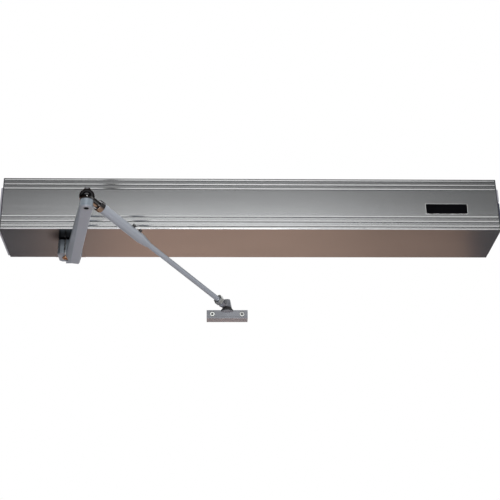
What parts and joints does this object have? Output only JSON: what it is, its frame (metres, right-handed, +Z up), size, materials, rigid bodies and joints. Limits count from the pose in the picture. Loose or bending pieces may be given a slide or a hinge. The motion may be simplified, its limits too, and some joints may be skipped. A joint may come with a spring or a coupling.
{
  "type": "swing door operator",
  "caption": "Surface mounted swing door operator: a long metal hood with gear drive, closing spring and an articulated arm to a door shoe.",
  "frame": {"origin": "centre of the back plate's wall side", "axes": "+X along the cover to the right, +Y into the wall, +Z up"},
  "size_m": [0.9692, 0.3235, 0.2495],
  "materials": {
    "cover_alu": "satin anodised",
    "dark_plastic": "fine grain",
    "trim_plastic": "satin",
    "switch_plastic": "satin",
    "label_black": "satin print",
    "bright_alu": "bright",
    "galvanised": "zinc plated",
    "cast_alu": "as cast",
    "arm_paint": "smooth silver grey",
    "chrome": "polished",
    "black_steel": "blackened",
    "gear_steel": "ground",
    "bronze": "sintered",
    "copper_zinc": "yellow chromate",
    "rubber": "matt",
    "white_nylon": "smooth",
    "spring_steel": "shot peened",
    "circuit_green": "solder mask",
    "supply_steel": "folded sheet",
    "terminal_green": "moulded",
    "cable_black": "extruded sheath"
  },
  "bodies": {
    "operator": {"back_plate": "galvanised", "cover": "cover_alu", "spindle_insert": "cover_alu", "end_cap_left": "dark_plastic", "end_cap_right": "dark_plastic", "end_trim_left": "trim_plastic", "end_trim_right": "trim_plastic", "program_switch": "switch_plastic", "label_plate": "label_black", "label_border": "bright_alu", "end_bracket_left": "galvanised", "end_bracket_right": "galvanised", "end_cap_screws": "gear_steel", "cable_grommet": "rubber", "gear_housing": "cast_alu", "motor_plate": "galvanised", "gear_cover": "cast_alu", "housing_screws": "gear_steel", "lower_bearing": "bronze", "upper_bearing": "bronze", "stop_bumpers": "rubber", "idler_pin": "gear_steel", "gear_motor": "black_steel", "spring_tube": "galvanised", "spring_adjuster": "copper_zinc", "closing_spring": "spring_steel", "control_tray": "dark_plastic", "main_board": "circuit_green", "power_supply": "supply_steel", "terminal_block": "terminal_green", "motor_cable": "cable_black", "cable_clips": "white_nylon"},
    "spindle_and_arm": {"output_spindle": "gear_steel", "output_gear": "gear_steel", "spring_pinion": "gear_steel", "stop_lever": "gear_steel", "main_arm": "arm_paint", "hub_pinch_screw": "black_steel", "spindle_screw": "copper_zinc", "ball_stud": "arm_paint"},
    "idler": {"idler_wheel": "gear_steel", "idler_pinion": "gear_steel"},
    "rotor": {"motor_pinion": "gear_steel"},
    "rack": {"spring_rack": "gear_steel", "spring_plunger": "gear_steel"},
    "rocker": {"program_rocker": "switch_plastic"},
    "liner": {"ball_liner": "white_nylon", "elbow_seal": "rubber"},
    "forearm": {"elbow_socket": "chrome", "collar_nut": "chrome", "forearm_tube": "arm_paint", "forearm_set_screws": "black_steel"},
    "rod": {"forearm_rod": "arm_paint", "rod_lock_nut": "gear_steel", "rod_eye": "arm_paint"},
    "fork": {"swivel_fork": "arm_paint", "pivot_pin": "galvanised"},
    "shoe": {"door_shoe": "arm_paint", "shoe_boot": "rubber", "shoe_screws": "galvanised"}
  },
  "joints": [
    {"name": "spindle_turn", "type": "hinge", "parent": "operator", "child": "spindle_and_arm", "pos_m": [-0.36, -0.068, 0], "axis": [0, 0, 1], "range_deg": [0, 165], "stiffness_Nm_per_rad": 4, "springref_deg": -28.65},
    {"name": "idler_turn", "type": "hinge", "parent": "operator", "child": "idler", "pos_m": [-0.29925, -0.068, 0.03], "axis": [0, 0, 1], "range_deg": [-622, 1]},
    {"name": "motor_turn", "type": "hinge", "parent": "operator", "child": "rotor", "pos_m": [-0.26907, -0.03807, 0.03], "axis": [0, 0, 1], "range_deg": [-1, 1865]},
    {"name": "rack_slide", "type": "slide", "parent": "operator", "child": "rack", "axis": [1, 0, 0], "range_m": [-0.0001, 0.0491], "deforming": ["closing_spring"]},
    {"name": "elbow_swing", "type": "hinge", "parent": "spindle_and_arm", "child": "liner", "pos_m": [-0.294, -0.31, -0.08], "axis": [0, 0, 1], "range_deg": [-120, 2]},
    {"name": "elbow_tilt", "type": "hinge", "parent": "liner", "child": "forearm", "pos_m": [-0.294, -0.31, -0.08], "axis": [0.7702, -0.6378, 0], "range_deg": [0, 8]},
    {"name": "forearm_telescope", "type": "slide", "parent": "forearm", "child": "rod", "axis": [0.6227, 0.7519, -0.2163], "range_m": [-0.026, 0.022]},
    {"name": "shoe_tilt", "type": "hinge", "parent": "rod", "child": "fork", "pos_m": [-0.05509, -0.02151, -0.163], "axis": [0.7702, -0.6378, 0], "range_deg": [-15, 15]},
    {"name": "shoe_turn", "type": "hinge", "parent": "fork", "child": "shoe", "pos_m": [-0.0468, -0.0115, -0.17], "axis": [0, 0, 1], "range_deg": [-30, 40]},
    {"name": "program_rocker", "type": "hinge", "parent": "operator", "child": "rocker", "pos_m": [0.479, -0.098, -0.022], "axis": [0, 1, 0], "range_deg": [-10, 10]}
  ],
  "couplings": [
    {"joint": "idler_turn", "follows": "spindle_turn", "ratio": -3.7647},
    {"joint": "motor_turn", "follows": "spindle_turn", "ratio": 11.294},
    {"joint": "rack_slide", "follows": "spindle_turn", "m_per_rad": 0.017}
  ]
}
